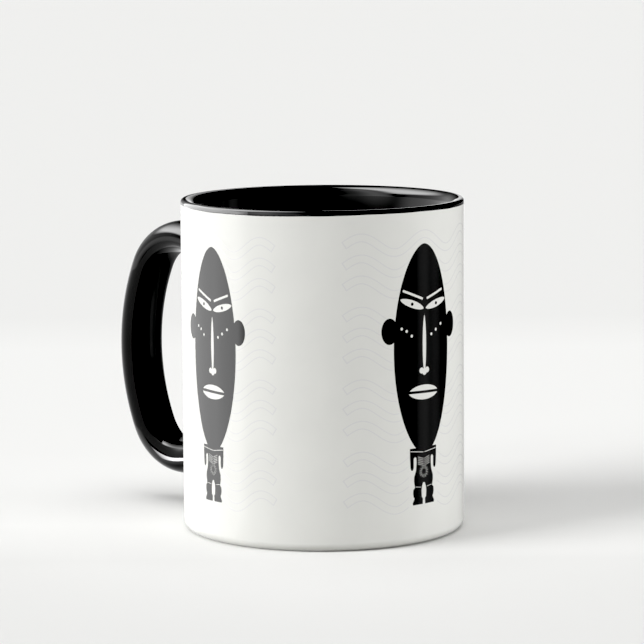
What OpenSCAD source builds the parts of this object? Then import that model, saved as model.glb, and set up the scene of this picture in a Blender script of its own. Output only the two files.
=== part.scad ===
// Straight-walled ceramic mug with a black liner, lip and handle, and a printed motif.
// Origin: centre of the foot ring, on the surface that the mug stands on. +Z is up.
// The handle lies along -X, and the front of the print faces +X. Millimetres.

/* [Cup] */
// Outside diameter of the straight wall
cup_d = 82; // [80:0.5:86]
// Height of the lip above the table
cup_h = 96; // [94:0.5:104]
// Thickness of the wall with its coats
wall_t = 3.8; // [3.4:0.1:4.6]
// Radius of the lip's outside edge; the rest of the wall rounds down to the inside
lip_edge_r = 0.9; // [0.6:0.1:1.2]
// Thickness of the floor with its coat
floor_t = 5; // [4:0.5:7]
// Radius of the outside corner at the base
base_r = 2.5; // [2:0.1:3]
// Radius between the inside wall and the floor
bowl_r = 7; // [4:0.5:10]

/* [Foot] */
// Width of the bare ring that the mug stands on
foot_w = 3; // [2:0.5:4]
// Depth of the hollow inside the foot ring
foot_depth = 1.8; // [1:0.1:2.5]

/* [Coats] */
// Thickness of the glazes and of the outer coat
coat_t = 0.2; // [0.15:0.05:0.3]
// Height of the black band on the outside of the lip
lip_band = 1.45; // [1.3:0.05:2]
// Depth of the lip glaze inside the cup
lip_inside = 6; // [4:0.5:10]

/* [Handle] */
// Height at which the top of the handle meets the wall
handle_z = 76.4; // [74:0.2:78]
// Upward slope of the handle where it leaves the wall
handle_rise = 22; // [18:1:26]
// Width of the handle across its loop
handle_w = 14.6; // [12:0.2:16]
// Thickness of the handle
handle_t = 9.4; // [8:0.2:10]
// Radius of the top bend
top_bend_r = 16.2; // [15:0.2:18]
// Radius of the long grip
grip_r = 59.2; // [56:0.2:62]
// Radius of the bottom bend
low_bend_r = 15.9; // [15:0.2:17]
// Size of the slip fillets where the handle joins the wall
joint_fillet = 2.4; // [1.5:0.1:3]

/* [Print] */
// Thickness of the printed ink
ink_t = 0.08; // [0.06:0.01:0.1]
// Angle between neighbouring figures round the cup
figure_step = 93.6; // [90:0.2:96]
// Angle of the front figure from +X
figure_turn = -4; // [-6:0.5:0]
// Width of the lines that outline the wave ribbons
wave_line = 0.28; // [0.24:0.02:0.4]

/* [Hidden] */

$fn = 96;
white = "whitesmoke";
black = [0.03, 0.03, 0.03];
clay = "ivory";
pale_ink = "gainsboro";

out_r = cup_d / 2;
in_r = out_r - wall_t;
clay_r = out_r - coat_t;
lip_round_r = wall_t - lip_edge_r;
crest_r = out_r - lip_edge_r;
floor_z = foot_depth + floor_t;
foot_out_r = out_r - base_r;
foot_in_r = foot_out_r - foot_w;
foot_slope = 1;
arc_steps = 10;

// ---- Profiles of revolution, as [radius, height] ----

// Points on an arc about c from angle a to angle b
function arc(c, r, a, b, n = arc_steps) =
    [for (i = [0 : n]) let (t = a + (b - a) * i / n) c + r * [cos(t), sin(t)]];

// Outside of the cup from the foot ring up to the lip band, d inside the finished face
function outside_line(d) = concat(
    arc([out_r - base_r, base_r], base_r - d, -90, 0),
    [[out_r - d, cup_h - lip_band]]
);

// From the lip band over the lip and down the inside to the end of the lip glaze
function lip_line(d) = concat(
    [[out_r - d, cup_h - lip_band]],
    arc([crest_r, cup_h - lip_edge_r], lip_edge_r - d, 0, 90, 6),
    arc([crest_r, cup_h - lip_round_r], lip_round_r - d, 99, 180, 9),
    [[in_r + d, cup_h - lip_inside]]
);

// Inside of the cup from the end of the lip glaze down to the middle of the floor
function inside_line(d) = concat(
    [[in_r + d, cup_h - lip_inside]],
    arc([in_r - bowl_r, floor_z + bowl_r], bowl_r + d, 0, -90),
    [[0, floor_z - d]]
);

function backwards(list) = [for (i = [len(list) - 1 : -1 : 0]) list[i]];

// Coat between the finished face and the clay under it
module coat(finished, under) {
    rotate_extrude()
        polygon(concat(finished, backwards(under)));
}

module wall_cut() {
    cylinder(r = clay_r, h = 3 * cup_h, center = true);
}

// ---- Handle path in its own plane: r outward from the cup's axis, z up ----

top_turn = 87;
grip_turn = 49;
low_turn = 74;
top_straight = 9.7;
start_r = clay_r - 1;
section_steps = 24;

// Place on the path as [r, z, heading]; a bend turns it clockwise
function ahead(p, length) = [p[0] + length * cos(p[2]), p[1] + length * sin(p[2]), p[2]];
function bend_centre(p, r) = [p[0] + r * sin(p[2]), p[1] - r * cos(p[2])];
function bent(p, r, turn) =
    let (c = bend_centre(p, r), a = p[2] - turn)
    [c[0] - r * sin(a), c[1] + r * cos(a), a];

path_start = [start_r, handle_z, handle_rise];
top_in = ahead(path_start, top_straight);
top_out = bent(top_in, top_bend_r, top_turn);
low_in = bent(top_out, grip_r, grip_turn);
low_out = bent(low_in, low_bend_r, low_turn);
low_straight = (low_out[0] - start_r) / -cos(low_out[2]);

// Oval section: x in the loop's plane, y across it
function oval_section(d) =
    [for (i = [0 : section_steps - 1]) let (t = 360 * i / section_steps)
        [(handle_t / 2 - d) * cos(t), (handle_w / 2 - d) * sin(t)]];

// Places along a bend, without its first
function bend_places(p, r, turn, n) = [for (i = [1 : n]) bent(p, r, turn * i / n)];

places = concat(
    [path_start, top_in],
    bend_places(top_in, top_bend_r, top_turn, 10),
    bend_places(top_out, grip_r, grip_turn, 10),
    bend_places(low_in, low_bend_r, low_turn, 9),
    [ahead(low_out, low_straight)]
);

// Section standing square on the path, d inside the finished face
function section_at(p, d) =
    [for (s = oval_section(d)) [p[0] - s[0] * sin(p[2]), s[1], p[1] + s[0] * cos(p[2])]];

// Strip of faces from ring k to ring m, where every ring has section_steps points
function strip(k, m) =
    [for (i = [0 : section_steps - 1]) let (j = (i + 1) % section_steps)
        [k * section_steps + i, k * section_steps + j, m * section_steps + j,
            m * section_steps + i]];
function joined(lists) = [for (list = lists) each list];

// Solid through a list of rings, capped at both ends
module capped_rings(rings) {
    last = len(rings) - 1;
    faces = concat(
        joined([for (k = [0 : last - 1]) strip(k, k + 1)]),
        [[for (i = [section_steps - 1 : -1 : 0]) i]],
        [[for (i = [0 : section_steps - 1]) last * section_steps + i]]
    );
    polyhedron(joined(rings), faces, convexity = 6);
}

// Solid through a list of rings whose last joins its first
module closed_rings(rings) {
    count = len(rings);
    faces = joined([for (k = [0 : count - 1]) strip(k, (k + 1) % count)]);
    polyhedron(joined(rings), faces, convexity = 6);
}

module behind_cup() {
    mirror([1, 0, 0])
        children();
}

// Ring of slip in the corner between the wall and a straight stretch of the handle.
// Each ring of points is the section grown by a quarter-round flare, slid along the
// stretch until it stands its own distance off the wall.
fillet_steps = 6;
slip_gap = 0.02;

function flare(d) = joint_fillet - sqrt(joint_fillet ^ 2 - (joint_fillet - d) ^ 2);
function grown(i, g) =
    let (t = 360 * i / section_steps)
    [(handle_t / 2 + g) * cos(t), (handle_w / 2 + g) * sin(t)];
// Point of the grown section i that stands d off the wall, on a line through p
function off_wall(p, i, g, d) =
    let (
        s = grown(i, g),
        side = [-sin(p[2]), cos(p[2])],
        x0 = p[0] + s[0] * side[0],
        reach = sqrt((clay_r + d) ^ 2 - s[1] ^ 2),
        slide = (reach - x0) / cos(p[2])
    )
    [reach, s[1], p[1] + s[0] * side[1] + slide * sin(p[2])];

module joint_slip(p) {
    flared = [for (k = [0 : fillet_steps]) let (d = joint_fillet * k / fillet_steps)
        [flare(d) + slip_gap, d + slip_gap]];
    beside_handle = [[slip_gap, joint_fillet / 2], [slip_gap, slip_gap]];
    behind_cup()
        closed_rings([for (ring = concat(flared, beside_handle))
            [for (i = [0 : section_steps - 1]) off_wall(p, i, ring[0], ring[1])]]);
}

// Hole in the outer coat where a joint lands
module joint_window(p) {
    gap = joint_fillet + 0.1;
    z = off_wall(p, 0, 0, 0)[2] / 2 + off_wall(p, section_steps / 2, 0, 0)[2] / 2;
    translate([-out_r - 1, 0, z])
        rotate([90, 0, 90])
            linear_extrude(wall_t)
                polygon([for (i = [0 : section_steps - 1]) let (t = 360 * i / section_steps)
                    [(handle_w / 2 + gap) * cos(t), (handle_t / 2 / cos(p[2]) + gap) * sin(t)]]);
}

// ---- Printed motif, drawn flat as [u, z]: u along the wall, z above the table ----

head_mid = 56;
head_half = 10.9;
head_up = 29.7;
head_down = 30;
head_power = 1.12;
ear_u = 12.2;
ear_z = 61.7;
ear_half_w = 2.6;
ear_half_h = 3.7;
shoulder_z = 27.9;
body_u = -0.3;
ink_clear = 0.5;

// A turned oval about c with half sizes a and b; a power over 1 sharpens its long ends
function oval(c, a, b, tilt = 0, n = 20, power = 1) =
    [for (i = [0 : n - 1]) let (
        t = 360 * i / n,
        x = a * cos(t),
        y = b * sign(sin(t)) * abs(sin(t)) ^ power
    )
    c + [x * cos(tilt) - y * sin(tilt), x * sin(tilt) + y * cos(tilt)]];

// Leaf-shaped oval from end a to end b, h half its height
function leaf(a, b, h) =
    oval((a + b) / 2, norm(b - a) / 2, h, atan2(b[1] - a[1], b[0] - a[0]), 28, 1.2);

// Egg-shaped outline, longer below or above its widest line
function egg(mid, half, up, down, power, n) =
    [for (i = [0 : n - 1]) let (t = 360 * i / n, s = sin(t))
        [half * sign(cos(t)) * abs(cos(t)) ^ power, mid + s * (s > 0 ? up : down)]];

// Half of the small body, from the shoulder down the arm and leg to the crotch
body_half = [
    [5.25, shoulder_z], [5.25, 25.4], [5.05, 22.3], [4.75, 21.6], [4.2, 21.6], [3.9, 22.3],
    [3.9, 24.9], [3.4, 25.4], [2.9, 25.0], [2.85, 23.5], [3.05, 21.4], [3.75, 19.6],
    [3.8, 18.4], [3.45, 16.6], [4.05, 16.0], [4.15, 15.0], [3.95, 13.9], [3.6, 13.5],
    [4.3, 12.2], [4.2, 11.6], [0.5, 11.6], [0.4, 13.2], [0.85, 13.7], [0.95, 15.5],
    [0.75, 16.8], [0.3, 17.8]
];

// Bare features, each drawn from end to end or about its centre
brows = [[[-7.9, 72.9], [-0.6, 70.1]], [[0.95, 70.1], [7.8, 72.2]]];
brow_w = 0.68;
eyes = [[[-8.7, 70.4], [-0.3, 67.4]], [[0.6, 67.4], [9.3, 69.4]]];
eye_half_h = 1.05;
pupils = [[-4.6, 68.9], [5, 68.4]];
pupil_r = 0.48;
nose_mid = 57;
nose_half = 0.7;
nose_up = 8.5;
nose_down = 8;
nose_power = 1.2;
nose_lobes = [[-1.1, 49.8], [1.05, 49.85], [0, 49.3]];
nostril_r = 0.86;
cheek_dots = [[-8.3, 62.2], [-6.6, 61.4], [-4.8, 59.9], [2.9, 59.8], [4.9, 60.9], [7.2, 62.3]];
dot_r = 0.43;
mouth = [[-5.9, 43.7], [5.7, 43.5]];
mouth_half_h = 2.1;
lip_gap = [[-7, 43.9], [7, 43.45]];
lip_gap_w = 0.75;

// Fine engraving on the body: a collar, rows of chevrons, ticks round the navel, knee lines
collar_z = 26.5;
collar_w = 0.2;
fine_w = 0.13;
chevron_z = 25.3;
chevron_step = 0.5;
chevron_rows = 5;
chevron_drop = 0.7;
navel = [body_u, 20.9];
tick_from = 0.85;
tick_to = 1.75;
tick_count = 14;
knee_z = 16.5;

// Straight stroke of width w from a to b, as four points
function stroke(a, b, w) =
    let (d = (b - a) / norm(b - a), n = [-d[1], d[0]] * w / 2)
    [a - n, b - n, b + n, a + n];

// u and z of a drawing wrapped round the wall and seen square on.
// f holds the figure's angle, width factor, height factor and lift.
foot_line = 11.6;
function wrap(points, f) =
    [for (q = points)
        [out_r * sin(q[0] * f[1] / out_r * 180 / PI),
            foot_line + (q[1] - foot_line) * f[2] + f[3]]];

module drawn(points, f) {
    polygon(wrap(points, f));
}

// Angle, width factor, height factor and lift of each figure
front = [figure_turn, 1, 1, 0];
right = [figure_turn - figure_step, 0.845, 0.98, 0.5];
left = [figure_turn + figure_step, 1, 1, 0];

// Point on the head's outline at angle t, for the side 1 or -1
function head_point(t, side) =
    [side * head_half * cos(t) ^ head_power, head_mid + sin(t) * (t > 0 ? head_up : head_down)];
// Angle on the head's outline at height z
function head_angle(z) = asin((z - head_mid) / (z > head_mid ? head_up : head_down));
function head_stretch(from, to, side, n) =
    [for (i = [0 : n]) head_point(from + (to - from) * i / n, side)];
function ear_point(t, side) = [side * (ear_u + ear_half_w * cos(t)), ear_z + ear_half_h * sin(t)];

// Angles on the ear where it meets the head above and below
ear_from = 133;
ear_to = -121;

// Outline of one side, from the top of the head round the ear to the crotch
function side_line(side) = concat(
    head_stretch(90, head_angle(ear_point(ear_from, side)[1]), side, 14),
    [for (i = [0 : 18]) ear_point(ear_from + (ear_to - ear_from) * i / 18, side)],
    head_stretch(head_angle(ear_point(ear_to, side)[1]), head_angle(shoulder_z), side, 14),
    [for (q = body_half) [body_u + side * q[0], q[1]]]
);

module silhouette(f) {
    drawn(concat(side_line(1), backwards(side_line(-1))), f);
}

module bare_features(f) {
    for (brow = brows)
        drawn(stroke(brow[0], brow[1], brow_w), f);
    for (eye = eyes)
        drawn(leaf(eye[0], eye[1], eye_half_h), f);
    drawn(egg(nose_mid, nose_half, nose_up, nose_down, nose_power, 24), f);
    for (lobe = nose_lobes)
        drawn(oval(lobe, nostril_r, nostril_r, 0, 14), f);
    for (dot = cheek_dots)
        drawn(oval(dot, dot_r, dot_r, 0, 14), f);
    difference() {
        drawn(leaf(mouth[0], mouth[1], mouth_half_h), f);
        drawn(stroke(lip_gap[0], lip_gap[1], lip_gap_w), f);
    }
    body_engraving(f);
}

module body_engraving(f) {
    for (side = [-1, 1]) {
        drawn(stroke([body_u + side * 5.1, collar_z + 0.6], [body_u + side * 0.2, collar_z],
            collar_w), f);
        drawn(stroke([body_u + side * 1.1, knee_z], [body_u + side * 3.3, knee_z + 0.3],
            fine_w), f);
        for (row = [0 : chevron_rows - 1]) let (z = chevron_z - row * chevron_step)
            drawn(stroke([body_u + side * 2.3, z], [body_u + side * 0.15, z - chevron_drop],
                fine_w), f);
    }
    for (i = [0 : tick_count - 1])
        let (t = 360 * (i + 0.5) / tick_count, ray = [cos(t), sin(t)])
            drawn(stroke(navel + tick_from * ray, navel + tick_to * ray, fine_w), f);
}

// One black figure with its bare features, pupils left inked
module figure_drawing(f) {
    difference() {
        silhouette(f);
        bare_features(f);
    }
    for (pupil = pupils)
        drawn(oval(pupil, pupil_r, pupil_r, 0, 12), f);
}

// Ribbons: a cosine wave with a crest behind the head, in groups down the wall
wave_period = 20.7;
wave_height = 2.3;
wave_end = 25.6;
wave_top = 86.1;
wave_group_step = 20.4;
wave_pitch = 5.85;
ribbon_w = 2.15;
wave_step = 1.7;

function wave(u, z) = z + wave_height * cos(360 * u / wave_period);
function wave_normal(u) =
    let (slope = -wave_height * 2 * PI / wave_period * sin(360 * u / wave_period))
    [-slope, 1] / sqrt(1 + slope ^ 2);
// Band of half width h round the wave from u = a to u = b
function band(z, a, b, h) =
    let (n = ceil((b - a) / wave_step), us = [for (i = [0 : n]) a + (b - a) * i / n])
    concat(
        [for (u = us) [u, wave(u, z)] - wave_normal(u) * h],
        backwards([for (u = us) [u, wave(u, z)] + wave_normal(u) * h])
    );

// Centre heights of the ribbons
ribbon_heights = [for (group = [0 : 3]) for (row = [0 : 2])
    wave_top - group * wave_group_step - row * wave_pitch];

// Room that the ribbons leave round the figure in front of them
module figure_clearance(f) {
    c = ink_clear;
    drawn(egg(head_mid, head_half + c, head_up + c, head_down + c, head_power, 48), f);
    for (side = [-1, 1])
        drawn(oval([side * ear_u, ear_z], ear_half_w + c, ear_half_h + c, 0, 20), f);
    drawn(stroke([body_u, shoulder_z + c], [body_u, foot_line - c], 10.5 + 2 * c), f);
}

module wave_drawing(f) {
    half_line = wave_line / 2;
    difference() {
        for (z = ribbon_heights)
            drawn(band(z, -wave_end, wave_end, ribbon_w / 2 + half_line), f);
        for (z = ribbon_heights)
            drawn(band(z, wave_line - wave_end, wave_end - wave_line, ribbon_w / 2 - half_line), f);
        figure_clearance(f);
    }
}

// Ink film on the wall in the shape of a flat drawing, at angle f[0] round the cup
module printed(f) {
    rotate([0, 0, f[0]])
        intersection() {
            difference() {
                cylinder(r = out_r + ink_t, h = cup_h);
                cylinder(r = out_r, h = cup_h * 3, center = true);
            }
            rotate([90, 0, 90])
                translate([0, 0, out_r / 2])
                    linear_extrude(out_r)
                        children();
        }
}

// ---- Pieces ----

module cup_body() {
    color(clay)
        rotate_extrude()
            polygon(concat(
                [[0, foot_depth], [foot_in_r - foot_slope, foot_depth], [foot_in_r, 0], [foot_out_r, 0]],
                [for (p = outside_line(coat_t)) [p[0], max(p[1], 0)]],
                lip_line(coat_t),
                inside_line(coat_t)
            ));
}

module handle_core() {
    color(clay)
        behind_cup()
            difference() {
                capped_rings([for (p = places) section_at(p, coat_t)]);
                wall_cut();
            }
}

module upper_joint_slip() {
    color(black)
        joint_slip(path_start);
}

module lower_joint_slip() {
    color(black)
        joint_slip([low_out[0], low_out[1], low_out[2] + 180]);
}

module outer_coat() {
    color(white)
        difference() {
            coat(outside_line(0), outside_line(coat_t));
            joint_window(path_start);
            joint_window([low_out[0], low_out[1], low_out[2] + 180]);
        }
}

module lip_glaze() {
    color(black)
        coat(lip_line(0), lip_line(coat_t));
}

module liner_glaze() {
    color(black)
        coat(inside_line(0), inside_line(coat_t));
}

module handle_glaze() {
    color(black)
        behind_cup()
            difference() {
                closed_rings(concat(
                    [for (p = places) section_at(p, 0)],
                    [for (p = backwards(places)) section_at(p, coat_t)]
                ));
                wall_cut();
            }
}

module figure_print_front() {
    color(black)
        printed(front)
            figure_drawing(front);
}

module figure_print_right() {
    color(black)
        printed(right)
            figure_drawing(right);
}

module figure_print_left() {
    color(black)
        printed(left)
            figure_drawing(left);
}

module wave_print_front() {
    color(pale_ink)
        printed(front)
            wave_drawing(front);
}

module wave_print_right() {
    color(pale_ink)
        printed(right)
            wave_drawing(right);
}

module wave_print_left() {
    color(pale_ink)
        printed(left)
            wave_drawing(left);
}

cup_body();
handle_core();
upper_joint_slip();
lower_joint_slip();
outer_coat();
lip_glaze();
liner_glaze();
handle_glaze();
figure_print_front();
figure_print_right();
figure_print_left();
wave_print_front();
wave_print_right();
wave_print_left();
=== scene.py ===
import math  # noqa: E402
from math import cos, pi, radians, sin, sqrt  # noqa: E402

import bpy  # noqa: E402
import numpy as np  # noqa: E402
from mathutils import Matrix, Vector  # noqa: E402
from mathutils.geometry import delaunay_2d_cdt  # noqa: E402


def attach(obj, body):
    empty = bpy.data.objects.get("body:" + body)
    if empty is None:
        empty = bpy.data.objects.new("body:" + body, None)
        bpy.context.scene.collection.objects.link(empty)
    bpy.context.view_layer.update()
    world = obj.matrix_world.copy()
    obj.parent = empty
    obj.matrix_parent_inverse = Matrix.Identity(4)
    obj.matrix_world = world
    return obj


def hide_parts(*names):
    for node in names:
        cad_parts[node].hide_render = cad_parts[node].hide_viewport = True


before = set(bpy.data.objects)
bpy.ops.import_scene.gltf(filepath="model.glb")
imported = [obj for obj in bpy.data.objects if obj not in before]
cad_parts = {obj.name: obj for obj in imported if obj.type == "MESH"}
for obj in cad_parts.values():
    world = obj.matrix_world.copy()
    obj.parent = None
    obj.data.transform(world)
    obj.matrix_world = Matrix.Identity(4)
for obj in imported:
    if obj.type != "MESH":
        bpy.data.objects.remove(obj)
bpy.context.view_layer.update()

MM = 0.001

# ---- Sizes, in millimetres, as in the CAD source but where a comment says otherwise ----

CUP_H = 96.0
OUT_R = 41.0
WALL_T = 3.8
IN_R = OUT_R - WALL_T
COAT_T = 0.2
CLAY_R = OUT_R - COAT_T
LIP_EDGE_R = 0.9
LIP_ROUND_R = WALL_T - LIP_EDGE_R
CREST_R = OUT_R - LIP_EDGE_R
LIP_BAND = 1.45
BAND_Z = CUP_H - LIP_BAND
LIP_INSIDE = 6.0
BASE_R = 2.5
BOWL_R = 7.0
FOOT_DEPTH = 1.8
FLOOR_Z = FOOT_DEPTH + 5.0
FOOT_OUT_R = OUT_R - BASE_R
FOOT_IN_R = FOOT_OUT_R - 3.0

# Rounded inner side of the foot ring, as (radius past FOOT_IN_R, height)
FOOT_INNER_SIDE = [
    (-1.4, FOOT_DEPTH), (-1.0, FOOT_DEPTH - 0.18), (-0.2, 0.3), (0, 0.08), (0.25, 0),
]
FOOT_FLAT_EDGE = 0.1
HOLLOW_RADII = (0, 12, 24)
FLOOR_RADII = (24, 16, 8, 0)

HANDLE_W = 14.6
HANDLE_T = 9.4
HANDLE_START = (CLAY_R - 1, 76.4, radians(22))
STRAIGHT = 9.7
BENDS = ((16.2, radians(87)), (59.2, radians(49)), (15.9, radians(74)))
JOINT_FILLET = 2.4
# The handle stays this much inside its CAD node's surface, and starts this deep in the wall
HANDLE_SHY = 0.01
JOINT_DEPTH = 0.5
JOINT_STEPS = 14
SECTION_POINTS = 64
SECTION_POWER = 2.15
FEWEST_BEND_STEPS = 12

# A real print hardly stands up, so the ink is thinner here than in the CAD
INK_IN_R = OUT_R - 0.02
INK_OUT_R = OUT_R + 0.015

# The coat's top edge is tucked under the lip's black band, as (depth, height above BAND_Z);
# the band starts with a slight bead over it, as (how far proud, height above BAND_Z)
COAT_TUCK = ((0.03, 0.02), (0.04, 0.25))
LIP_BEAD = ((-0.01, 0), (0.015, 0.05), (0.015, 0.15))
# Unevenness of that edge: (millimetres, waves round the cup, phase)
EDGE_RIPPLES = ((0.16, 3, 1.1 + pi / 2), (0.03, 13, 2.1), (0.015, 29, 4.4))

LATHE_STEPS = 256


# ---- Mesh helpers ----


def new_mesh(name, verts, faces, sharp_angle=32):
    """Mesh from points in millimetres, smooth but for edges sharper than sharp_angle."""
    mesh = bpy.data.meshes.new(name)
    mesh.from_pydata([[c * MM for c in v] for v in verts], [], faces)
    mesh.validate()
    mesh.update()
    for p in mesh.polygons:
        p.use_smooth = True
    mesh.set_sharp_from_angle(angle=radians(sharp_angle))
    return mesh


def new_piece(name, mesh, material, slot, *nodes):
    """Adds a piece of the mug that stands for CAD nodes."""
    piece = bpy.data.objects.new(name, mesh)
    bpy.context.scene.collection.objects.link(piece)
    mesh.materials.append(material)
    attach(piece, "root")
    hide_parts(*nodes)
    piece.visible_glossy = False
    return piece


def signed_power(value, power):
    return math.copysign(abs(value) ** power, value)


def arc(centre, r, start, end, steps):
    """Points on an arc, angles in degrees."""
    angles = [radians(start + (end - start) * i / steps) for i in range(steps + 1)]
    return [(centre[0] + r * cos(a), centre[1] + r * sin(a)) for a in angles]


def lathe(name, outline, sway=None):
    """Closed solid of revolution. outline is a closed list of (radius, height); sway(i, a)
    gives a point's shift (radius, height) at outline point i and angle a."""
    verts, rings = [], []
    for i, (r, z) in enumerate(outline):
        if r < 1e-6:
            rings.append([len(verts)] * LATHE_STEPS)
            verts.append((0, 0, z))
            continue
        rings.append(list(range(len(verts), len(verts) + LATHE_STEPS)))
        for k in range(LATHE_STEPS):
            a = 2 * pi * k / LATHE_STEPS
            dr, dz = sway(i, a) if sway else (0, 0)
            verts.append(((r + dr) * cos(a), (r + dr) * sin(a), z + dz))
    faces = []
    for i, low in enumerate(rings):
        high = rings[(i + 1) % len(rings)]
        if low[0] == low[1] and high[0] == high[1]:
            continue
        for k in range(LATHE_STEPS):
            m = (k + 1) % LATHE_STEPS
            corners = [low[k], low[m], high[m], high[k]]
            faces.append(list(dict.fromkeys(corners)))
    return new_mesh(name, verts, faces)


def swept(name, rings):
    """Closed solid through rings of points, capped at both ends."""
    n = len(rings[0])
    verts = [p for ring in rings for p in ring]
    faces = []
    for k in range(len(rings) - 1):
        for i in range(n):
            j = (i + 1) % n
            faces.append([k * n + i, k * n + j, (k + 1) * n + j, (k + 1) * n + i])
    last = (len(rings) - 1) * n
    faces.append(list(range(n - 1, -1, -1)))
    faces.append(list(range(last, last + n)))
    return new_mesh(name, verts, faces)


# ---- Materials ----


def new_material(name):
    """A node material and its Principled shader."""
    material = bpy.data.materials.new(name)
    material.use_nodes = True
    return material, material.node_tree, material.node_tree.nodes["Principled BSDF"]


def noise(tree, scale, detail, roughness=0.5):
    """Noise in the object's own coordinates; scale is in features per metre."""
    where = tree.nodes.new("ShaderNodeTexCoord")
    texture = tree.nodes.new("ShaderNodeTexNoise")
    texture.inputs["Scale"].default_value = scale
    texture.inputs["Detail"].default_value = detail
    texture.inputs["Roughness"].default_value = roughness
    tree.links.new(where.outputs["Object"], texture.inputs["Vector"])
    return texture.outputs["Fac"]


# The limits that a noise texture's values mostly stay within
NOISE_LOW, NOISE_HIGH = 0.3, 0.7


def spread(tree, value, low, high, start=NOISE_LOW, end=NOISE_HIGH):
    """Maps a value to a range of numbers: low at start and high at end."""
    node = tree.nodes.new("ShaderNodeMapRange")
    node.inputs["From Min"].default_value = start
    node.inputs["From Max"].default_value = end
    node.inputs["To Min"].default_value = low
    node.inputs["To Max"].default_value = high
    tree.links.new(value, node.inputs["Value"])
    return node.outputs["Result"]


def between(tree, value, colour_a, colour_b):
    """Ramp between two colours for a noise texture's value."""
    ramp = tree.nodes.new("ShaderNodeValToRGB")
    ramp.color_ramp.elements[0].position = NOISE_LOW
    ramp.color_ramp.elements[0].color = (*colour_a, 1)
    ramp.color_ramp.elements[1].position = NOISE_HIGH
    ramp.color_ramp.elements[1].color = (*colour_b, 1)
    tree.links.new(value, ramp.inputs["Fac"])
    return ramp.outputs["Color"]


def bumps(tree, shader, height, depth_mm, under=None):
    """Bump of a depth given in millimetres, over another one if given."""
    node = tree.nodes.new("ShaderNodeBump")
    node.inputs["Strength"].default_value = 1.0
    node.inputs["Distance"].default_value = depth_mm * MM
    tree.links.new(height, node.inputs["Height"])
    if under is not None:
        tree.links.new(under, node.inputs["Normal"])
    tree.links.new(node.outputs["Normal"], shader.inputs["Normal"])
    return node.outputs["Normal"]


# Noise scales of a glaze, in features per metre, and the pores' depth as a share of the ripple's
MOTTLE_SCALE, GLOSS_SCALE, RIPPLE_SCALE, PORE_SCALE = 90, 160, 55, 900
PORE_SHARE = 0.02


def glazed(name, colours, roughness, ripple_mm, ior=1.5):
    """Glossy fired glaze: faint mottling between two colours, uneven gloss between two
    roughnesses and a slight ripple."""
    material, tree, shader = new_material(name)
    colour = between(tree, noise(tree, MOTTLE_SCALE, 3), *colours)
    tree.links.new(colour, shader.inputs["Base Color"])
    rough = spread(tree, noise(tree, GLOSS_SCALE, 3), *roughness)
    tree.links.new(rough, shader.inputs["Roughness"])
    shader.inputs["IOR"].default_value = ior
    ripple = bumps(tree, shader, noise(tree, RIPPLE_SCALE, 1), ripple_mm)
    bumps(tree, shader, noise(tree, PORE_SCALE, 1), ripple_mm * PORE_SHARE, under=ripple)
    return material


def product(tree, a, b):
    """Two values multiplied."""
    node = tree.nodes.new("ShaderNodeMath")
    node.operation = "MULTIPLY"
    tree.links.new(a, node.inputs[0])
    tree.links.new(b, node.inputs[1])
    return node.outputs[0]


def mixed(tree, factor, a, b, blend="MIX"):
    """Colour a where factor is 0 and b where it is 1, or b blended over it."""
    node = tree.nodes.new("ShaderNodeMix")
    node.data_type = "RGBA"
    node.blend_type = blend
    tree.links.new(factor, node.inputs["Factor"])
    for socket, value in ((node.inputs[6], a), (node.inputs[7], b)):
        if isinstance(value, tuple):
            socket.default_value = (*value, 1)
        else:
            tree.links.new(value, socket)
    return node.outputs[2]


CLAY_COLOURS = ((0.62, 0.57, 0.49), (0.78, 0.745, 0.68))
CLAY_STAIN, STAIN_SHARE = (0.8, 0.72, 0.6), (0.0, 0.22)
CLAY_ROUGHNESS = (0.72, 0.9)
GRAIN_SCALE, GRAIN_HARSHNESS, STAIN_SCALE, GRAIN_DEPTH = 2600, 0.65, 120, 0.03
HOLLOW_COLOUR = (0.76, 0.76, 0.745)
# Millimetres above the table where the clay turns from bare to glazed
GLAZE_FROM, GLAZE_TO = 0.25, 0.4
# How rough the glazed hollow is next to the bare clay
HOLLOW_GLOSS = 0.15


def make_clay():
    """Bare fired clay with grain and stains on the foot ring, glazed white in the hollow."""
    material, tree, shader = new_material("bare_clay")
    where = tree.nodes.new("ShaderNodeTexCoord")
    height = tree.nodes.new("ShaderNodeSeparateXYZ")
    tree.links.new(where.outputs["Object"], height.inputs["Vector"])
    glaze = spread(tree, height.outputs["Z"], 0, 1, GLAZE_FROM * MM, GLAZE_TO * MM)
    grain = noise(tree, GRAIN_SCALE, 4, GRAIN_HARSHNESS)
    bare = between(tree, grain, *CLAY_COLOURS)
    stain = spread(tree, noise(tree, STAIN_SCALE, 3), *STAIN_SHARE)
    bare = mixed(tree, stain, bare, CLAY_STAIN, "MULTIPLY")
    tree.links.new(mixed(tree, glaze, bare, HOLLOW_COLOUR), shader.inputs["Base Color"])
    smoother = spread(tree, glaze, 1, HOLLOW_GLOSS, 0, 1)
    rough = product(tree, spread(tree, grain, *CLAY_ROUGHNESS), smoother)
    tree.links.new(rough, shader.inputs["Roughness"])
    bumps(tree, shader, product(tree, grain, spread(tree, glaze, 1, 0, 0, 1)), GRAIN_DEPTH)
    return material


def grey(level):
    return (level, level, level)


COAT_COLOURS = ((0.765, 0.767, 0.742), (0.785, 0.787, 0.76))
COAT_RIPPLE, BLACK_RIPPLE = 0.012, 0.02
INK_ROUGHNESS = (0.06, 0.10)

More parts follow.
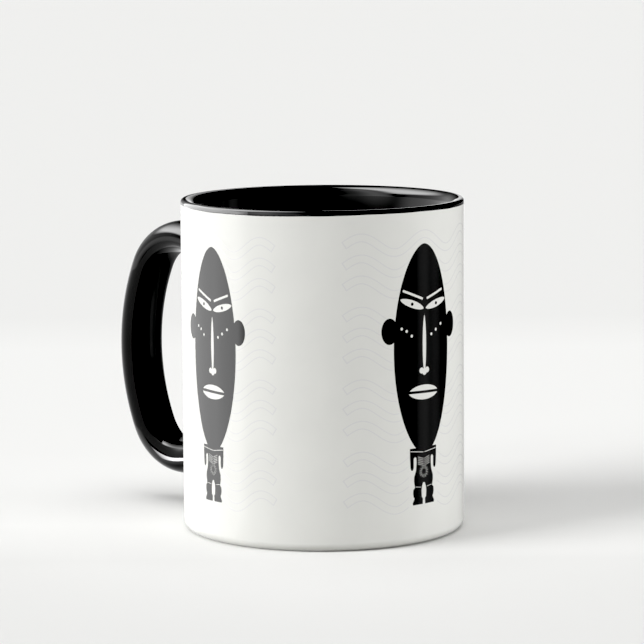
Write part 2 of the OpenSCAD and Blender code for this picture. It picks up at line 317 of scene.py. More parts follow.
# The white coat mirrors less than glass does, as the photo's matt-looking wall shows
white_coat = glazed("white_coat", COAT_COLOURS, (0.05, 0.09), COAT_RIPPLE, ior=1.25)
black_glaze = glazed("black_glaze", (grey(0.0015), grey(0.003)), (0.03, 0.06), BLACK_RIPPLE)
black_ink = glazed("black_ink", (grey(0.002), grey(0.004)), INK_ROUGHNESS, COAT_RIPPLE)
pale_ink = glazed("pale_ink", (grey(0.731), grey(0.751)), INK_ROUGHNESS, COAT_RIPPLE)
bare_clay = make_clay()


# ---- Cup ----


def outside_line(d):
    """Outside of the cup from the foot ring up to the lip band, d inside the finished face."""
    wall = [(OUT_R - d, BASE_R + (BAND_Z - BASE_R) * i / 12) for i in range(1, 13)]
    return arc((OUT_R - BASE_R, BASE_R), BASE_R - d, -90, 0, 18) + wall


def lip_line(d):
    """From the lip band over the lip and down the inside to the end of the lip glaze."""
    return (
        [(OUT_R - d, BAND_Z)]
        + arc((CREST_R, CUP_H - LIP_EDGE_R), LIP_EDGE_R - d, 0, 90, 18)
        + arc((CREST_R, CUP_H - LIP_ROUND_R), LIP_ROUND_R - d, 90, 180, 32)[1:]
        + [(IN_R + d, CUP_H - LIP_INSIDE)]
    )


def inside_line(d):
    """Inside of the cup from the end of the lip glaze down to the middle of the floor."""
    top, low = CUP_H - LIP_INSIDE, FLOOR_Z + BOWL_R
    wall = [(IN_R + d, top + (low - top) * i / 10) for i in range(10)]
    return (
        wall
        + arc((IN_R - BOWL_R, FLOOR_Z + BOWL_R), BOWL_R + d, 0, -90, 24)
        + [(r, FLOOR_Z - d) for r in FLOOR_RADII]
    )


def ripple(a):
    """Unevenness of the lip band's lower edge round the cup, in millimetres."""
    return sum(size * sin(count * a + phase) for size, count, phase in EDGE_RIPPLES)


def edge_sway(moved):
    """Moves the outline points in moved up and down with the ripple."""
    return lambda i, a: (0, ripple(a)) if i in moved else (0, 0)


def make_cup():
    """The clay cup and its glazes. Gives the coat and the lip band, which the cards light."""
    foot = [(r, FOOT_DEPTH) for r in HOLLOW_RADII]
    foot += [(FOOT_IN_R + past, z) for past, z in FOOT_INNER_SIDE]
    foot += [(FOOT_OUT_R - FOOT_FLAT_EDGE, 0)]
    clay_side = [(r, max(z, 0.0)) for r, z in outside_line(COAT_T) if z > 0.02]
    outline = foot + clay_side + lip_line(COAT_T)[1:] + inside_line(COAT_T)[1:]
    new_piece("cup_clay", lathe("cup_clay", outline), bare_clay, "clay", "cup_body")

    face = outside_line(0)
    tuck = [(OUT_R - depth, BAND_Z + up) for depth, up in COAT_TUCK]
    outline = face + tuck + outside_line(COAT_T)[::-1]
    edge = set(range(len(face) - 1, len(face) + len(tuck)))
    coat = new_piece(
        "outer_glaze",
        lathe("outer_glaze", outline, edge_sway(edge)),
        white_coat,
        "white_coat",
        "outer_coat",
    )

    bead = [(OUT_R + proud, BAND_Z + up) for proud, up in LIP_BEAD]
    outline = bead + lip_line(0)[1:] + lip_line(COAT_T)[::-1]
    edge = set(range(len(bead))) | {len(outline) - 1}
    lip = new_piece(
        "lip_band",
        lathe("lip_band", outline, edge_sway(edge)),
        black_glaze,
        "black_glaze",
        "lip_glaze",
    )

    outline = inside_line(0) + inside_line(COAT_T)[::-1]
    new_piece("liner", lathe("liner", outline), black_glaze, "black_glaze", "liner_glaze")
    return coat, lip


# ---- Handle ----


def ahead(p, length):
    """Place straight ahead; a place is (x, z, direction)."""
    return (p[0] + length * cos(p[2]), p[1] + length * sin(p[2]), p[2])


def bent(p, r, turn):
    """Place after a clockwise bend."""
    cx, cz = p[0] + r * sin(p[2]), p[1] - r * cos(p[2])
    a = p[2] - turn
    return (cx - r * sin(a), cz + r * cos(a), a)


def unit_section():
    """Points of a superellipse with half sizes 1."""
    angles = [2 * pi * i / SECTION_POINTS for i in range(SECTION_POINTS)]
    power = 2 / SECTION_POWER
    return [(signed_power(cos(a), power), signed_power(sin(a), power)) for a in angles]


def off_wall(p, s, gap):
    """Section point s of place p slid along the handle until it stands gap off the wall."""
    x0, z0 = p[0] - s[0] * sin(p[2]), p[1] + s[0] * cos(p[2])
    reach = sqrt((OUT_R + gap) ** 2 - s[1] ** 2)
    return (reach, s[1], z0 + (reach - x0) / cos(p[2]) * sin(p[2]))


def make_handle():
    """The handle and its joint fillets, swept from the top joint round to the lower one."""
    shape = unit_section()
    half = (HANDLE_T / 2 - HANDLE_SHY, HANDLE_W / 2 - HANDLE_SHY)

    def section(p):
        ring = [(half[0] * x, half[1] * y) for x, y in shape]
        return [(p[0] - x * sin(p[2]), y, p[1] + x * cos(p[2])) for x, y in ring]

    def joint(p):
        """Rings from inside the wall out along the fillet to the plain section."""
        rings = []
        for k in range(-1, JOINT_STEPS + 1):
            turned = pi / 2 * k / JOINT_STEPS
            gap = -JOINT_DEPTH if k < 0 else JOINT_FILLET * (1 - cos(turned))
            lost = JOINT_FILLET - max(gap, 0)
            grow = JOINT_FILLET - sqrt(max(JOINT_FILLET**2 - lost**2, 0))
            ring = [((half[0] + grow) * x, (half[1] + grow) * y) for x, y in shape]
            rings.append([off_wall(p, s, gap) for s in ring])
        return rings

    place = ahead(HANDLE_START, STRAIGHT)
    rings = joint(HANDLE_START)
    rings.append(section(place))
    for r, turn in BENDS:
        steps = max(FEWEST_BEND_STEPS, round(r * turn))
        rings += [section(bent(place, r, turn * i / steps)) for i in range(1, steps + 1)]
        place = bent(place, r, turn)
    rings += joint(place)[::-1]
    rings = [[(-x, y, z) for x, y, z in ring] for ring in rings]
    return new_piece(
        "handle",
        swept("handle", rings),
        black_glaze,
        "black_glaze",
        "handle_core",
        "handle_glaze",
        "upper_joint_slip",
        "lower_joint_slip",
    )


# ---- Printed motif, drawn flat as (u, z): u along the wall, z above the table ----

HEAD_MID, HEAD_HALF, HEAD_UP, HEAD_DOWN, HEAD_POWER = 56, 10.9, 29.7, 30, 1.12
EAR_U, EAR_Z, EAR_HALF_W, EAR_HALF_H = 12.2, 61.7, 2.6, 3.7
SHOULDER_Z = 27.9
BODY_U = -0.3
FOOT_LINE = 11.6
INK_CLEAR = 0.5
BODY_HALF = [
    (5.25, SHOULDER_Z), (5.25, 25.4), (5.05, 22.3), (4.75, 21.6), (4.2, 21.6), (3.9, 22.3),
    (3.9, 24.9), (3.4, 25.4), (2.9, 25.0), (2.85, 23.5), (3.05, 21.4), (3.75, 19.6),
    (3.8, 18.4), (3.45, 16.6), (4.05, 16.0), (4.15, 15.0), (3.95, 13.9), (3.6, 13.5),
    (4.3, 12.2), (4.2, FOOT_LINE), (0.5, FOOT_LINE), (0.4, 13.2), (0.85, 13.7),
    (0.95, 15.5), (0.75, 16.8), (0.3, 17.8),
]
BROWS = [((-7.9, 72.9), (-0.6, 70.1)), ((0.95, 70.1), (7.8, 72.2))]
EYES = [((-8.7, 70.4), (-0.3, 67.4)), ((0.6, 67.4), (9.3, 69.4))]
PUPILS = [(-4.6, 68.9), (5, 68.4)]
NOSE_LOBES = [(-1.1, 49.8), (1.05, 49.85), (0, 49.3)]
CHEEK_DOTS = [(-8.3, 62.2), (-6.6, 61.4), (-4.8, 59.9), (2.9, 59.8), (4.9, 60.9), (7.2, 62.3)]
MOUTH = ((-5.9, 43.7), (5.7, 43.5))
LIP_GAP = ((-7, 43.9), (7, 43.45))
BROW_W, EYE_HALF_H, PUPIL_R, NOSE_HALF, NOSTRIL_R, DOT_R = 0.68, 1.05, 0.48, 0.7, 0.86, 0.43
MOUTH_HALF_H, LIP_GAP_W, CORNER_CUT = 2.1, 0.75, 0.12
NOSE_Z, NOSE_UP, NOSE_DOWN, NOSE_POWER = 57, 8.5, 8, 1.2
# Where the ear's outline starts and ends on the head's, as angles round the ear
EAR_START, EAR_END = radians(133), radians(-121)

# Body engraving; the lines' ends are given from the body's middle and mirrored
COLLAR, COLLAR_W = ((5.1, 26.5 + 0.6), (0.2, 26.5)), 0.2
KNEE, FINE_W = ((1.1, 16.5), (3.3, 16.5 + 0.3)), 0.13
CHEVRON_Z, CHEVRON_STEP, CHEVRON_ROWS, CHEVRON_DROP = 25.3, 0.5, 5, 0.7
CHEVRON_FROM, CHEVRON_TO = 2.3, 0.15
NAVEL, TICK_FROM, TICK_TO, TICK_COUNT = (BODY_U, 20.9), 0.85, 1.75, 14

# Each figure's angle round the cup from +X, width factor, height factor and lift
FRONT_ANGLE, FIGURE_STEP = -4, 93.6
FIGURES = {
    "front": (FRONT_ANGLE, 1, 1, 0),
    "right": (FRONT_ANGLE - FIGURE_STEP, 0.845, 0.98, 0.5),
    "left": (FRONT_ANGLE + FIGURE_STEP, 1, 1, 0),
}

WAVE_PERIOD, WAVE_HEIGHT, WAVE_END = 20.7, 2.3, 25.6
WAVE_TOP, WAVE_GROUP, WAVE_PITCH = 86.1, 20.4, 5.85
RIBBON_W, WAVE_LINE, WAVE_STEP = 2.15, 0.28, 0.55
# Width round a figure's body that the ribbons leave clear, before INK_CLEAR
BODY_CLEAR_W = 10.5

# A film's sides are cut to this length, and a figure's film has a grid of inner points, so
# that both follow the round wall
LONGEST_SIDE, GRID_STEP = 0.8, 1.1
GRID_HALF_W, GRID_MARGIN = 15.3, 0.4
# Points this close are one point, and triangles this small are dropped
SAME_POINT, NO_AREA = 1e-5, 1e-7


def oval(centre, a, b, tilt=0.0, n=48, power=1.0):
    points = []
    for i in range(n):
        t = 2 * pi * i / n
        x, y = a * cos(t), b * signed_power(sin(t), power)
        points.append(
            (
                centre[0] + x * cos(tilt) - y * sin(tilt),
                centre[1] + x * sin(tilt) + y * cos(tilt),
            )
        )
    return points


def leaf(a, b, half_h):
    """Leaf-shaped oval from end a to end b."""
    middle = ((a[0] + b[0]) / 2, (a[1] + b[1]) / 2)
    length = math.hypot(b[0] - a[0], b[1] - a[1])
    tilt = math.atan2(b[1] - a[1], b[0] - a[0])
    return oval(middle, length / 2, half_h, tilt, 72, 1.2)


def egg(mid, half, up, down, power, n):
    """Pointed oval on the middle line, of different heights up and down from mid."""
    points = []
    for i in range(n):
        c, s = cos(2 * pi * i / n), sin(2 * pi * i / n)
        points.append((half * signed_power(c, power), mid + s * (up if s > 0 else down)))
    return points


def stroke(a, b, w):
    """Straight line of width w from a to b."""
    length = math.hypot(b[0] - a[0], b[1] - a[1])
    nx, ny = -(b[1] - a[1]) / length * w / 2, (b[0] - a[0]) / length * w / 2
    return [(p[0] + s * nx, p[1] + s * ny) for p, s in ((a, -1), (b, -1), (b, 1), (a, 1))]


def head_point(t, side):
    """Point of the head's outline, from t = pi / 2 at its top to -pi / 2 at its foot."""
    reach = HEAD_UP if t > 0 else HEAD_DOWN
    return (side * HEAD_HALF * abs(cos(t)) ** HEAD_POWER, HEAD_MID + sin(t) * reach)


def head_angle(z):
    """The t at which the head's outline is at height z."""
    return math.asin((z - HEAD_MID) / (HEAD_UP if z > HEAD_MID else HEAD_DOWN))


def ear_point(t, side):
    return (side * (EAR_U + EAR_HALF_W * cos(t)), EAR_Z + EAR_HALF_H * sin(t))


def rounded(points):
    """Softens an outline's corners: each becomes two points a little way along its sides."""
    out = []
    n = len(points)
    for i, p in enumerate(points):
        for q in (points[i - 1], points[(i + 1) % n]):
            length = math.hypot(q[0] - p[0], q[1] - p[1])
            step = min(CORNER_CUT, length * 0.3)
            along = ((q[0] - p[0]) / length, (q[1] - p[1]) / length)
            out.append((p[0] + along[0] * step, p[1] + along[1] * step))
    return out


def body_point(side, u, z):
    return (BODY_U + side * u, z)


def side_line(side):
    """Outline of one side, from the top of the head round the ear to the crotch."""
    top, low = (head_angle(ear_point(t, 1)[1]) for t in (EAR_START, EAR_END))
    chin = head_angle(SHOULDER_Z)
    line = [head_point(pi / 2 + (top - pi / 2) * i / 44, side) for i in range(45)]
    line += [ear_point(EAR_START + (EAR_END - EAR_START) * i / 60, side) for i in range(61)]
    line += [head_point(low + (chin - low) * i / 50, side) for i in range(51)]
    return line + [body_point(side, *place) for place in BODY_HALF]


def body_engraving():
    """Fine bare lines on the body: collar, knees, chevrons and ticks round the navel."""
    marks = [(*COLLAR, COLLAR_W), (*KNEE, FINE_W)]
    for row in range(CHEVRON_ROWS):
        z = CHEVRON_Z - row * CHEVRON_STEP
        marks.append(((CHEVRON_FROM, z), (CHEVRON_TO, z - CHEVRON_DROP), FINE_W))
    lines = []
    for side in (-1, 1):
        lines += [stroke(body_point(side, *a), body_point(side, *b), w) for a, b, w in marks]
    for i in range(TICK_COUNT):
        t = 2 * pi * (i + 0.5) / TICK_COUNT
        ends = [(NAVEL[0] + r * cos(t), NAVEL[1] + r * sin(t)) for r in (TICK_FROM, TICK_TO)]
        lines.append(stroke(*ends, FINE_W))
    return lines


def figure_loops():
    """Outlines of a figure and the test for what is inked."""
    loops = {"outline": [side_line(1) + side_line(-1)[::-1]]}
    loops["bare"] = [rounded(stroke(*brow, BROW_W)) for brow in BROWS]
    loops["bare"] += [leaf(*eye, EYE_HALF_H) for eye in EYES]
    loops["bare"] += [egg(NOSE_Z, NOSE_HALF, NOSE_UP, NOSE_DOWN, NOSE_POWER, 72)]
    loops["bare"] += [oval(lobe, NOSTRIL_R, NOSTRIL_R) for lobe in NOSE_LOBES]
    loops["bare"] += [oval(dot, DOT_R, DOT_R, n=32) for dot in CHEEK_DOTS]
    loops["bare"] += body_engraving()
    loops["mouth"] = [leaf(*MOUTH, MOUTH_HALF_H)]
    loops["lip_gap"] = [stroke(*LIP_GAP, LIP_GAP_W)]
    loops["pupil"] = [oval(pupil, PUPIL_R, PUPIL_R, n=24) for pupil in PUPILS]

    def inked(within):
        bare = within["bare"] | (within["mouth"] & ~within["lip_gap"])
        return (within["outline"] & ~bare) | within["pupil"]

    return loops, inked


def wave(u, z):
    return z + WAVE_HEIGHT * cos(2 * pi * u / WAVE_PERIOD)


def band(z, a, b, half):
    """Band round the wave from u = a to u = b."""
    n = math.ceil((b - a) / WAVE_STEP)
    low, high = [], []
    for i in range(n + 1):
        u = a + (b - a) * i / n
        slope = -WAVE_HEIGHT * 2 * pi / WAVE_PERIOD * sin(2 * pi * u / WAVE_PERIOD)
        nx, ny = -slope / sqrt(1 + slope**2) * half, 1 / sqrt(1 + slope**2) * half
        low.append((u - nx, wave(u, z) - ny))
        high.append((u + nx, wave(u, z) + ny))
    return low + high[::-1]


def wave_loops():
    """Outlines of the ribbons behind a figure and the test for what is inked."""
    heights = [
        WAVE_TOP - group * WAVE_GROUP - row * WAVE_PITCH for group in range(4) for row in range(3)
    ]
    half, line, c = RIBBON_W / 2, WAVE_LINE, INK_CLEAR
    loops = {
        "edge": [band(z, -WAVE_END, WAVE_END, half + line / 2) for z in heights],
        "middle": [band(z, line - WAVE_END, WAVE_END - line, half - line / 2) for z in heights],
        "clear": [
            egg(HEAD_MID, HEAD_HALF + c, HEAD_UP + c, HEAD_DOWN + c, HEAD_POWER, 120),
            oval((-EAR_U, EAR_Z), EAR_HALF_W + c, EAR_HALF_H + c),
            oval((EAR_U, EAR_Z), EAR_HALF_W + c, EAR_HALF_H + c),
            stroke((BODY_U, SHOULDER_Z + c), (BODY_U, FOOT_LINE - c), BODY_CLEAR_W + 2 * c),
        ],
    }

    def inked(within):
        return within["edge"] & ~within["middle"] & ~within["clear"]

    return loops, inked


def within_loop(loop, points):
    """Which points lie within a closed loop, by the crossings of a ray."""
    a = np.array(loop)
    b = np.roll(a, -1, axis=0)
    x, y = points[:, 0:1], points[:, 1:2]
    crosses = (a[:, 1] > y) != (b[:, 1] > y)
    rise = np.where(b[:, 1] == a[:, 1], 1e-12, b[:, 1] - a[:, 1])
    at = a[:, 0] + (y - a[:, 1]) / rise * (b[:, 0] - a[:, 0])
    return (np.count_nonzero(crosses & (x < at), axis=1) % 2) == 1


def split(loop):
    """Closed loop with its long sides cut up, so that they can follow the round wall."""
    points = []
    for (x0, y0), (x1, y1) in zip(loop, loop[1:] + loop[:1]):
        n = max(1, math.ceil(math.hypot(x1 - x0, y1 - y0) / LONGEST_SIDE))
        points += [(x0 + (x1 - x0) * k / n, y0 + (y1 - y0) * k / n) for k in range(n)]
    return points


def triangulated(loops, inked, gridded):
    """Flat points and the inked triangles between them, all wound the same way."""
    points, edges = [], []
    for group in loops.values():
        for loop in group:
            loop = split(loop)
            first = len(points)
            points += loop
            edges += [(first + i, first + (i + 1) % len(loop)) for i in range(len(loop))]
    if gridded:
        us = np.arange(-GRID_HALF_W, GRID_HALF_W + 0.1, GRID_STEP)
        low, high = FOOT_LINE - GRID_MARGIN, HEAD_MID + HEAD_UP + GRID_MARGIN + 0.1
        zs = np.arange(low, high, GRID_STEP * 0.87)
        points += [(u + (GRID_STEP / 2 if j % 2 else 0), z) for j, z in enumerate(zs) for u in us]
    flat, _, cells, *_ = delaunay_2d_cdt([Vector(p) for p in points], edges, [], 0, SAME_POINT)
    flat = np.array([tuple(p) for p in flat])
    cells = np.array([c for c in cells if len(c) == 3])
    middles = flat[cells].mean(axis=1)
    within = {
        key: np.any([within_loop(loop, middles) for loop in group], axis=0)
        for key, group in loops.items()
    }
    cells = cells[inked(within)]
    p, q, r = flat[cells[:, 0]], flat[cells[:, 1]], flat[cells[:, 2]]
    area = (q[:, 0] - p[:, 0]) * (r[:, 1] - p[:, 1]) - (q[:, 1] - p[:, 1]) * (r[:, 0] - p[:, 0])
    real = np.abs(area) > NO_AREA
    cells, area = cells[real], area[real]
    cells[area < 0] = cells[area < 0][:, ::-1]
    return flat, cells


def film(name, drawing, figure, gridded=False):
    """Thin closed film on the wall in the shape of a flat drawing."""
    angle, wide, tall, lift = figure
    flat, cells = triangulated(*drawing, gridded)
    used = np.unique(cells)
    index = {int(v): i for i, v in enumerate(used)}
    n = len(used)
    turn = radians(angle) + flat[used][:, 0] * wide / OUT_R
    height = FOOT_LINE + (flat[used][:, 1] - FOOT_LINE) * tall + lift
    verts = []
    for radius in (INK_OUT_R, INK_IN_R):
        verts += [(radius * cos(t), radius * sin(t), z) for t, z in zip(turn, height)]
    tris = [[index[int(v)] for v in cell] for cell in cells]
    faces = tris + [[v + n for v in reversed(t)] for t in tris]
    directed = {(t[i], t[(i + 1) % 3]) for t in tris for i in range(3)}
    rim = sorted((a, b) for a, b in directed if (b, a) not in directed)
    faces += [[b, a, a + n, b + n] for a, b in rim]

    mesh = bpy.data.meshes.new(name)
    mesh.from_pydata([[c * MM for c in v] for v in verts], [], faces)
    mesh.update()
    normals = []
    for i, poly in enumerate(mesh.polygons):
        poly.use_smooth = True
        for v in poly.vertices:
            if i < len(tris):
                normals.append((cos(turn[v % n]), sin(turn[v % n]), 0))
            elif i < 2 * len(tris):
                normals.append((-cos(turn[v % n]), -sin(turn[v % n]), 0))
            else:
                normals.append(tuple(poly.normal))
    mesh.normals_split_custom_set(normals)
    return mesh


def make_prints():
    """The three figures, each with its ribbons. Gives them as a list."""
    prints = []
    for place, figure in FIGURES.items():
        node = f"figure_print_{place}"
        mesh = film(node + "_ink", figure_loops(), figure, gridded=True)
        prints.append(new_piece(node + "_ink", mesh, black_ink, "black_ink", node))
        node = f"wave_print_{place}"
        mesh = film(node + "_ink", wave_loops(), figure)
        prints.append(new_piece(node + "_ink", mesh, pale_ink, "pale_ink", node))
    return prints


coat, lip = make_cup()
handle = make_handle()
prints = make_prints()


# ---- Camera: the photograph's viewing angle ----

VIEW_AZIMUTH = radians(42)
CAMERA_DISTANCE = 0.8887
CAMERA_ELEVATION = radians(8.471)
CAMERA_PITCH, CAMERA_YAW, CAMERA_ROLL = radians(-0.743), radians(-0.018), radians(0.359)
SENSOR_WIDTH = 36
FOCAL_LENGTH = 4.74 * SENSOR_WIDTH
AIM = Vector((0, 0, 0.048))
CLIP_START, CLIP_END = 0.01, 60


def make_camera():
    """A camera that looks at AIM from the photograph's side, then turned by the small angles."""
    back = CAMERA_DISTANCE * cos(CAMERA_ELEVATION)
    place = Vector((0, -back, AIM.z + CAMERA_DISTANCE * sin(CAMERA_ELEVATION)))
    forward = (AIM - place).normalized()
    right = Vector((1, 0, 0))
    up = right.cross(forward)
    looking = Matrix((right, up, -forward))
    tilt = (
        Matrix.Rotation(CAMERA_ROLL, 3, "Z")
        @ Matrix.Rotation(CAMERA_PITCH, 3, "X")
        @ Matrix.Rotation(CAMERA_YAW, 3, "Y")
    )
    turn = Matrix.Rotation(VIEW_AZIMUTH, 3, "Z")
    camera = bpy.data.objects.new("camera", bpy.data.cameras.new("camera"))
    camera.data.sensor_width = SENSOR_WIDTH
    camera.data.lens = FOCAL_LENGTH
    camera.data.clip_start, camera.data.clip_end = CLIP_START, CLIP_END
    camera.matrix_world = Matrix.Translation(turn @ place) @ (
        turn @ (tilt @ looking).transposed()
    ).to_4x4()
    bpy.context.scene.collection.objects.link(camera)
    bpy.context.scene.camera = camera


# ---- Studio: pale floor and soft light. Directions are given from the camera's side:
# azimuth 0 comes from the camera, 90 from its right, and elevation is above the floor. ----


def direction(azimuth, elevation):
    """Direction from the mug towards a light, in the row frame, from degrees."""
    a, e = radians(azimuth) + VIEW_AZIMUTH, radians(elevation)
    return Vector((sin(a) * cos(e), -cos(a) * cos(e), sin(e)))


def shine_only_on(source, pieces):
    """Limits a lamp or a lit card to some pieces."""
    receivers = bpy.data.collections.new(source.name + "_receivers")
    for piece in pieces:
        receivers.objects.link(piece)
    source.light_linking.receiver_collection = receivers


def make_sun(name, azimuth, elevation, strength, angle, pieces=None):
    """Soft distant lamp; with pieces, it lights only these and casts no shadow."""
    light = bpy.data.lights.new(name, "SUN")
    light.energy = strength
    light.angle = radians(angle)
    sun = bpy.data.objects.new(name, light)
    if pieces:
        light.use_shadow = False
        shine_only_on(sun, pieces)
    sun.rotation_mode = "QUATERNION"
    sun.rotation_quaternion = direction(azimuth, elevation).to_track_quat("Z", "Y")
    sun.visible_glossy = False
    bpy.context.scene.collection.objects.link(sun)


# Metres behind the mug and the floor's tone there, which is painted light and shade: darkest in
# front of the mug, lightest along the mug's line and darker again far behind, standing in for how
# light falls over the floor
FLOOR_PAINTED_LIGHT = [
    (-0.15, 0.8), (-0.05, 0.805), (0.0, 0.933), (0.06, 0.911), (0.12, 0.884), (0.36, 0.884),
    (0.46, 0.835),
]
FLOOR_FROM, FLOOR_TO = -0.2, 0.6
FLOOR_TINT = (1, 1, 0.986)
FLOOR_BOUNCE = (0.556, 0.556, 0.54)
FLOOR_ROUGHNESS = 0.9
FLOOR_RINGS, FLOOR_STEPS = (0.2, 0.6, 2.0, 8.0, 40.0), 96


def make_floor():
    """Pale floor whose tone, graded with distance behind the mug, is painted light and shade;
    what it throws back at the mug is held down, as a small table's would be.
    """
    material, tree, shader = new_material("pale_floor")
    where = tree.nodes.new("ShaderNodeTexCoord")
    behind = tree.nodes.new("ShaderNodeVectorMath")
    behind.operation = "DOT_PRODUCT"
    behind.inputs[1].default_value = -direction(0, 0)
    tree.links.new(where.outputs["Object"], behind.inputs[0])
    # This ramp paints light and shade on the floor by distance behind the mug
    ramp = tree.nodes.new("ShaderNodeValToRGB")
    while len(ramp.color_ramp.elements) < len(FLOOR_PAINTED_LIGHT):
        ramp.color_ramp.elements.new(1.0)
    for element, (place, level) in zip(ramp.color_ramp.elements, FLOOR_PAINTED_LIGHT):
        element.position = (place - FLOOR_FROM) / (FLOOR_TO - FLOOR_FROM)
        element.color = (*(level * c for c in FLOOR_TINT), 1)
    shift = spread(tree, behind.outputs["Value"], 0, 1, FLOOR_FROM, FLOOR_TO)
    tree.links.new(shift, ramp.inputs["Fac"])
    tone = ramp.outputs["Color"]
    path = tree.nodes.new("ShaderNodeLightPath")
    tone = mixed(tree, path.outputs["Is Diffuse Ray"], tone, FLOOR_BOUNCE)
    tree.links.new(tone, shader.inputs["Base Color"])
    shader.inputs["Roughness"].default_value = FLOOR_ROUGHNESS
    shader.inputs["Specular IOR Level"].default_value = 0.0
    steps = FLOOR_STEPS
    angles = [2 * pi * k / steps for k in range(steps)]
    verts = [(0, 0, 0)] + [(r * cos(a), r * sin(a), 0) for r in FLOOR_RINGS for a in angles]
    faces = [[0, 1 + k, 1 + (k + 1) % steps] for k in range(steps)]
    for i in range(len(FLOOR_RINGS) - 1):
        a, b = 1 + i * steps, 1 + (i + 1) * steps
        faces += [[a + k, b + k, b + (k + 1) % steps, a + (k + 1) % steps] for k in range(steps)]
    mesh = bpy.data.meshes.new("floor")
    mesh.from_pydata(verts, [], faces)
    mesh.materials.append(material)
    floor = bpy.data.objects.new("floor", mesh)
    floor.visible_glossy = False
    bpy.context.scene.collection.objects.link(floor)


class WorldNodes:
    """Writes arithmetic as nodes of the world."""

    def __init__(self, tree):
        self.tree = tree

    def maths(self, operation, a, b=None):
        node = self.tree.nodes.new("ShaderNodeMath")
        node.operation = operation
        for socket, value in zip(node.inputs, (a, b)):
            if value is None:
                continue
            if isinstance(value, (int, float)):
                socket.default_value = value
            else:
                self.tree.links.new(value, socket)
        return node.outputs[0]

    def dot(self, vector, constant):
        node = self.tree.nodes.new("ShaderNodeVectorMath")
        node.operation = "DOT_PRODUCT"
        self.tree.links.new(vector, node.inputs[0])
        node.inputs[1].default_value = constant
        return node.outputs["Value"]

    def step(self, value, low, high):
        """0 below low, 1 above high, smooth between; falls when high is below low."""
        node = self.tree.nodes.new("ShaderNodeMapRange")
        node.interpolation_type = "SMOOTHSTEP"
        rising = high > low
        node.inputs["From Min"].default_value = min(low, high)
        node.inputs["From Max"].default_value = max(low, high)
        node.inputs["To Min"].default_value = 0 if rising else 1
        node.inputs["To Max"].default_value = 1 if rising else 0
        self.tree.links.new(value, node.inputs["Value"])
        return node.outputs["Result"]

    def panel(self, azimuth, elevation, az, el, level):
        """A soft-edged rectangle of light: az and el are (start, full, full, end)."""
        value = self.maths(
            "MULTIPLY", self.step(azimuth, az[0], az[1]), self.step(azimuth, az[3], az[2])
        )
        value = self.maths("MULTIPLY", value, self.step(elevation, el[0], el[1]))
        value = self.maths("MULTIPLY", value, self.step(elevation, el[3], el[2]))
        return self.maths("MULTIPLY", value, level)


# Panels that the gloss reflects: azimuth limits, elevation limits, brightness
PANELS = [
    ((-175, -92, -82, -60), (20, 34, 74, 90), 10.5),  # soft box high on the left
    ((-182, -181, 181, 182), (-92, -91, -3, 4), 0.3),  # table
    ((-182, -181, 100, 120), (-92, -91, -3, 4), 0.4),  # table's bright side
    ((-185, -140, -92, -62), (-45, -12, 15, 35), 1.1),  # left wall
    ((160, 178, 181, 182), (-15, -5, 28, 42), 1.0),  # left wall, past the back
    ((-75, -60, -50, -30), (-7, 0, 60, 80), 1.2),  # left wall, nearer the camera
    ((-75, -50, -35, 5), (-7, 0, 60, 80), 1.3),  # room behind the camera, on its left
    ((78, 86, 90, 98), (-40, -25, 0, 15), 0.2),  # window strip on the right
]
# The world's brightness for diffuse surfaces, and where the camera sees it
AMBIENT, SKY_SEEN = 0.06, 0.88
# Light below this is shown as pure black, as the photo's is
BLACK_LEVEL = 0.04


def make_world():
    """The world: panels for glossy rays, an even pale tone for the rest."""
    world = bpy.data.worlds.new("studio")
    bpy.context.scene.world = world
    world.use_nodes = True
    world.cycles.sampling_method = "NONE"
    tree = world.node_tree
    nodes = WorldNodes(tree)
    where = tree.nodes.new("ShaderNodeTexCoord").outputs["Generated"]
    forward = nodes.dot(where, direction(0, 0))
    right = nodes.dot(where, direction(90, 0))
    upward = nodes.dot(where, (0, 0, 1))
    azimuth = nodes.maths("DEGREES", nodes.maths("ARCTAN2", right, forward))
    elevation = nodes.maths("DEGREES", nodes.maths("ARCSINE", upward))

    gloss = 0.0
    for az, el, level in PANELS:
        gloss = nodes.maths("ADD", gloss, nodes.panel(azimuth, elevation, az, el, level))

    path = tree.nodes.new("ShaderNodeLightPath")

    def chosen(share, a, b):
        """a where share is 0 and b where it is 1."""
        return nodes.maths(
            "ADD",
            nodes.maths("MULTIPLY", nodes.maths("SUBTRACT", 1.0, share), a),
            nodes.maths("MULTIPLY", share, b),
        )

    level = chosen(path.outputs["Is Glossy Ray"], AMBIENT, gloss)
    level = chosen(path.outputs["Is Camera Ray"], level, SKY_SEEN)
    tree.links.new(level, tree.nodes["Background"].inputs["Strength"])
    tree.nodes["Background"].inputs["Color"].default_value = (1, 1, 1, 1)


# Small lit cards close beside the mug. Each stands upright, starts at place (right of the mug
# and behind it, as the camera sees it), runs along heading and is seen only in the gloss of
# some pieces, from no further off than reach. It glows at level, times fade_in[1] at its start
# and fade_out[1] at its end, which each spread over the length that comes first. Pieces that
# a card isn't for see it black, or see through it where it is see_through.
CARDS = {
    "side_card": {
        "place": (-49.5, 5.5), "heading": -114.8, "width": 80, "heights": (-8, 96),
        "level": 3.9, "fade_in": (32, 0.42), "fade_out": (20, 0.23), "reach": 70,
    },
    "lip_card": {
        "place": (-48.5, 5), "heading": -114.8, "width": 80, "heights": (89, 112),
        "level": 8, "fade_in": (32, 0.42), "fade_out": (20, 0.4), "reach": 70,
        "see_through": True,
    },
    "low_card": {
        "place": (-65, 36), "heading": -90, "width": 21.5, "heights": (8.6, 16.4),
        "level": 28, "fade_in": (7, 0), "fade_out": (4, 0.5), "reach": 40,
    },
    "flag": {
        "place": (-64, 62), "heading": -90, "width": 48, "heights": (20, 70),
        "level": 1.1, "fade_in": (19, 1.9), "fade_out": (4, 1), "reach": 45,
    },
}


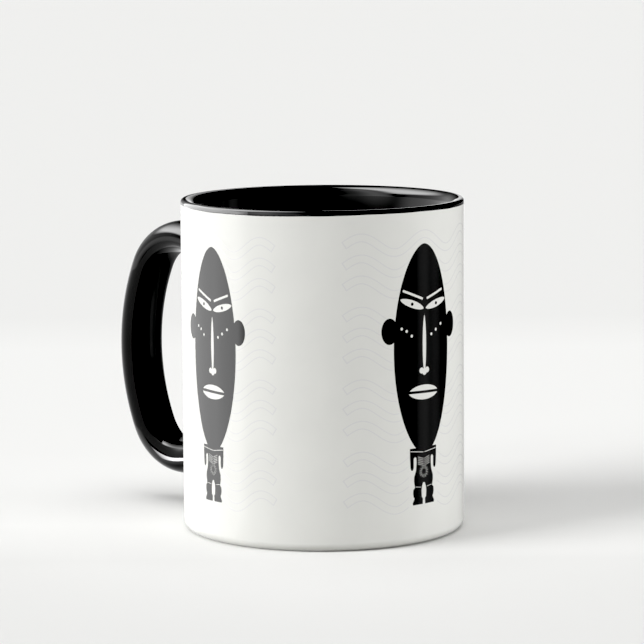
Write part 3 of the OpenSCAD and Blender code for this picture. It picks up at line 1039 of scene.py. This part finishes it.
def make_card(name, seen_by):
    """A lit card from CARDS for the pieces in seen_by."""
    card = CARDS[name]
    width, (low, high) = card["width"], card["heights"]
    mesh = bpy.data.meshes.new(name)
    corners = [(0, low), (width, low), (width, high), (0, high)]
    mesh.from_pydata([(s * MM, 0, z * MM) for s, z in corners], [], [[0, 1, 2, 3]])
    material, tree, shader = new_material(name)
    where = tree.nodes.new("ShaderNodeTexCoord")
    parts = tree.nodes.new("ShaderNodeSeparateXYZ")
    tree.links.new(where.outputs["Object"], parts.inputs["Vector"])
    along, level = parts.outputs["X"], card["level"]
    (rise, first), (fall, last) = card["fade_in"], card["fade_out"]
    start = spread(tree, along, first, 1, 0, rise * MM)
    end = spread(tree, along, level, level * last, (width - fall) * MM, width * MM)
    tree.links.new(product(tree, start, end), shader.inputs["Emission Strength"])
    shader.inputs["Base Color"].default_value = (0, 0, 0, 1)
    shader.inputs["Specular IOR Level"].default_value = 0
    shader.inputs["Emission Color"].default_value = (1, 1, 1, 1)
    path = tree.nodes.new("ShaderNodeLightPath")
    limits = (card["reach"] * MM, (card["reach"] + 1) * MM)
    far = spread(tree, path.outputs["Ray Length"], 0, 1, *limits)
    clear = tree.nodes.new("ShaderNodeBsdfTransparent")
    near = shader.outputs["BSDF"]
    if card.get("see_through"):
        both = tree.nodes.new("ShaderNodeAddShader")
        tree.links.new(near, both.inputs[0])
        tree.links.new(clear.outputs["BSDF"], both.inputs[1])
        near = both.outputs["Shader"]
    blend = tree.nodes.new("ShaderNodeMixShader")
    tree.links.new(far, blend.inputs["Fac"])
    tree.links.new(near, blend.inputs[1])
    tree.links.new(clear.outputs["BSDF"], blend.inputs[2])
    tree.links.new(blend.outputs["Shader"], tree.nodes["Material Output"].inputs["Surface"])
    mesh.materials.append(material)
    board = bpy.data.objects.new(name, mesh)
    board.matrix_world = (
        Matrix.Rotation(VIEW_AZIMUTH, 4, "Z")
        @ Matrix.Translation((card["place"][0] * MM, card["place"][1] * MM, 0))
        @ Matrix.Rotation(radians(card["heading"]), 4, "Z")
    )
    board.visible_camera = False
    board.visible_diffuse = False
    board.visible_shadow = False
    board.visible_transmission = False
    shine_only_on(board, seen_by)
    bpy.context.scene.collection.objects.link(board)


make_camera()
make_floor()
make_world()
make_card("side_card", [coat, *prints])
make_card("lip_card", [lip])
make_card("low_card", [handle])
make_card("flag", [handle])
make_sun("key", azimuth=-70, elevation=24, strength=3.2, angle=38)
make_sun("fill", azimuth=81, elevation=14, strength=1.2, angle=50)
make_sun("wall_fill", azimuth=81, elevation=14, strength=1.3, angle=50, pieces=[coat, *prints])
make_sun("overhead", azimuth=0, elevation=88, strength=1.5, angle=60)

view = bpy.context.scene.view_settings
view.view_transform = "Standard"
view.look = "None"
view.exposure = 0
view.gamma = 1
view.use_curve_mapping = True
view.curve_mapping.black_level = (BLACK_LEVEL, BLACK_LEVEL, BLACK_LEVEL)
view.curve_mapping.update()

bpy.context.view_layer.update()
